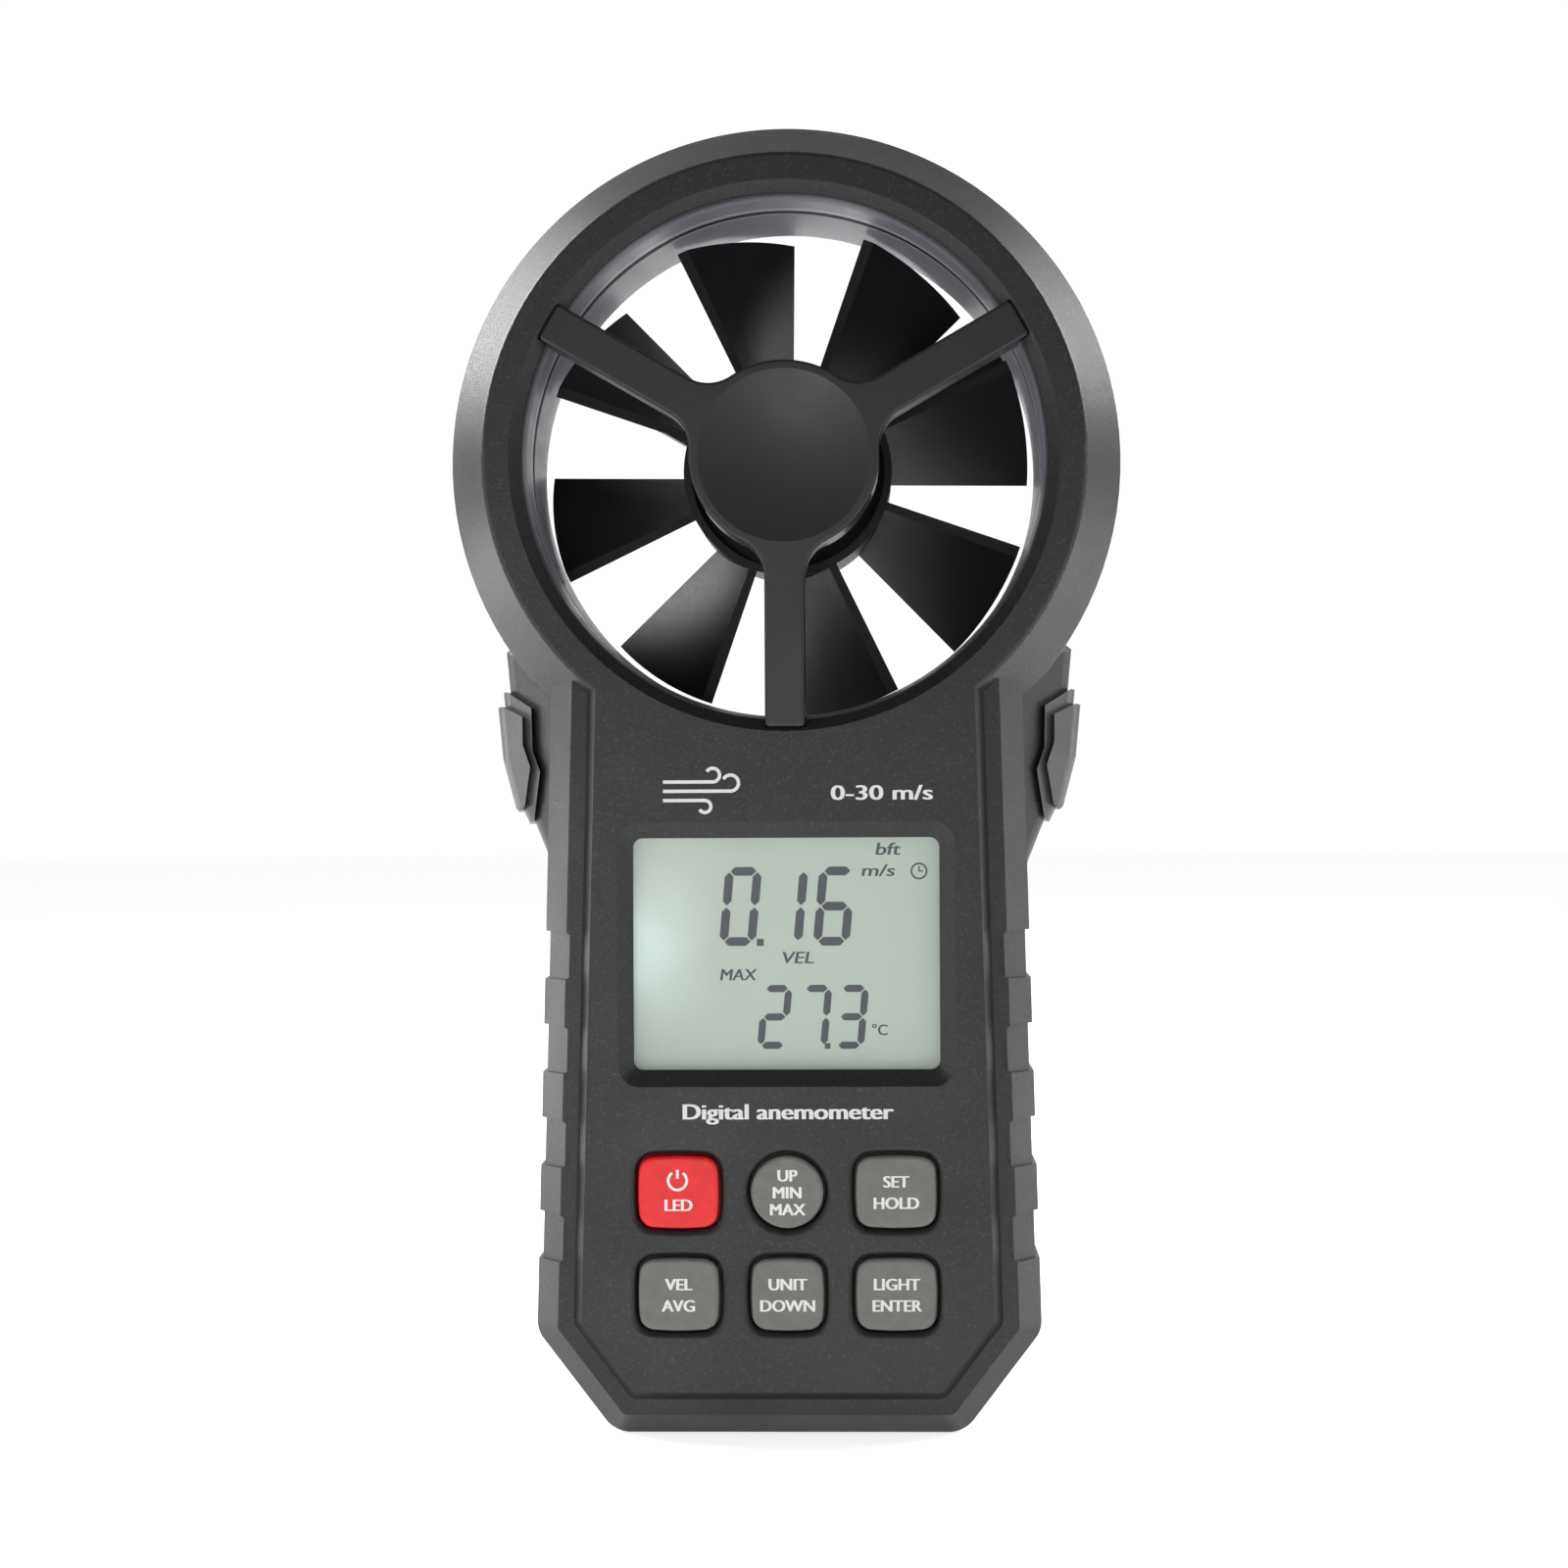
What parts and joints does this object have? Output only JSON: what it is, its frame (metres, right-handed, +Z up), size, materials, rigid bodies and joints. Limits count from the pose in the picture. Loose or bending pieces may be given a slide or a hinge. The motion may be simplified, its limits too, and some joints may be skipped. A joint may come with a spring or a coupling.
{
  "type": "vane anemometer",
  "caption": "Handheld vane anemometer: a guarded bladed rotor spins in a ring above a notched handle with a display and press keys.",
  "frame": {"origin": "middle of the flat foot, half way through the depth", "axes": "+Z up along the instrument, the display and the air inlet face -Y, +X to the right of a person who reads the display"},
  "size_m": [0.085, 0.038, 0.165],
  "materials": {
    "case_plastic": "fine spark-eroded texture, dark grey",
    "grip_rubber": "satin, moulded in two steps",
    "duct_plastic": "polished smoky clear plastic",
    "seal_rubber": "matt black",
    "rotor_plastic": "smooth satin black",
    "bearing_brass": "turned",
    "board_laminate": "green solder mask",
    "chip_epoxy": "moulded black epoxy",
    "lead_jacket": "smooth vinyl",
    "connector_plastic": "natural white nylon",
    "window_plastic": "clear hard-coated lens",
    "lcd_glass": "pale green-grey reflective display with dark segments",
    "light_guide": "frosted light guide",
    "lamp_resin": "clear lamp resin",
    "zebra_rubber": "striped contact rubber",
    "key_silicone": "translucent grey-green silicone",
    "power_key_silicone": "translucent red silicone",
    "buzzer_plastic": "moulded black",
    "battery_jacket": "plain printed jacket over a metal can",
    "snap_vinyl": "soft vinyl",
    "steel": "bright zinc plated",
    "magnet": "sintered, plated",
    "foam": "open-cell foam",
    "insert_brass": "turned and knurled"
  },
  "bodies": {
    "case": {"front_shell": "case_plastic", "rear_shell": "case_plastic", "side_grip_left": "grip_rubber", "side_grip_right": "grip_rubber", "front_guard": "case_plastic", "rear_guard": "case_plastic", "duct_front_ring": "duct_plastic", "duct_gasket": "seal_rubber", "duct_rear_ring": "duct_plastic", "front_bearing": "bearing_brass", "rear_bearing": "bearing_brass", "sensor_board": "board_laminate", "hall_sensor": "chip_epoxy", "sensor_lead": "lead_jacket", "sensor_plug": "connector_plastic", "thermistor": "chip_epoxy", "display_window": "window_plastic", "lcd_cell": "lcd_glass", "lcd_backlight": "light_guide", "backlight_leds": "lamp_resin", "zebra_strip": "zebra_rubber", "lcd_frame": "connector_plastic", "main_board": "board_laminate", "main_chip": "chip_epoxy", "key_domes": "steel", "keypad_mat": "key_silicone", "buzzer": "buzzer_plastic", "battery": "battery_jacket", "battery_snap": "snap_vinyl", "battery_leads": "lead_jacket", "case_screws": "steel", "board_screws": "steel", "tripod_insert": "insert_brass"},
    "rotor": {"rotor": "rotor_plastic", "rotor_shaft": "steel", "rotor_magnet": "magnet"},
    "battery_door": {"battery_door": "case_plastic", "door_foam": "foam", "door_screw": "steel"},
    "key_power": {"key_power": "power_key_silicone"},
    "key_min_max": {"key_min_max": "key_silicone"},
    "key_hold": {"key_hold": "key_silicone"},
    "key_average": {"key_average": "key_silicone"},
    "key_unit": {"key_unit": "key_silicone"},
    "key_light": {"key_light": "key_silicone"}
  },
  "joints": [
    {"name": "rotor_spin", "type": "hinge", "parent": "case", "child": "rotor", "pos_m": [0, 0, 0.1225], "axis": [0, 1, 0], "continuous": true},
    {"name": "battery_door_swing", "type": "hinge", "parent": "case", "child": "battery_door", "pos_m": [0, 0.019, 0.0663], "axis": [1, 0, 0], "range_deg": [0, 35]},
    {"name": "key_power_press", "type": "slide", "parent": "case", "child": "key_power", "axis": [0, 1, 0], "range_m": [0, 0.0008], "stiffness_N_per_m": 500, "springref_m": -0.0004},
    {"name": "key_min_max_press", "type": "slide", "parent": "case", "child": "key_min_max", "axis": [0, 1, 0], "range_m": [0, 0.0008], "stiffness_N_per_m": 500, "springref_m": -0.0004},
    {"name": "key_hold_press", "type": "slide", "parent": "case", "child": "key_hold", "axis": [0, 1, 0], "range_m": [0, 0.0008], "stiffness_N_per_m": 500, "springref_m": -0.0004},
    {"name": "key_average_press", "type": "slide", "parent": "case", "child": "key_average", "axis": [0, 1, 0], "range_m": [0, 0.0008], "stiffness_N_per_m": 500, "springref_m": -0.0004},
    {"name": "key_unit_press", "type": "slide", "parent": "case", "child": "key_unit", "axis": [0, 1, 0], "range_m": [0, 0.0008], "stiffness_N_per_m": 500, "springref_m": -0.0004},
    {"name": "key_light_press", "type": "slide", "parent": "case", "child": "key_light", "axis": [0, 1, 0], "range_m": [0, 0.0008], "stiffness_N_per_m": 500, "springref_m": -0.0004}
  ]
}
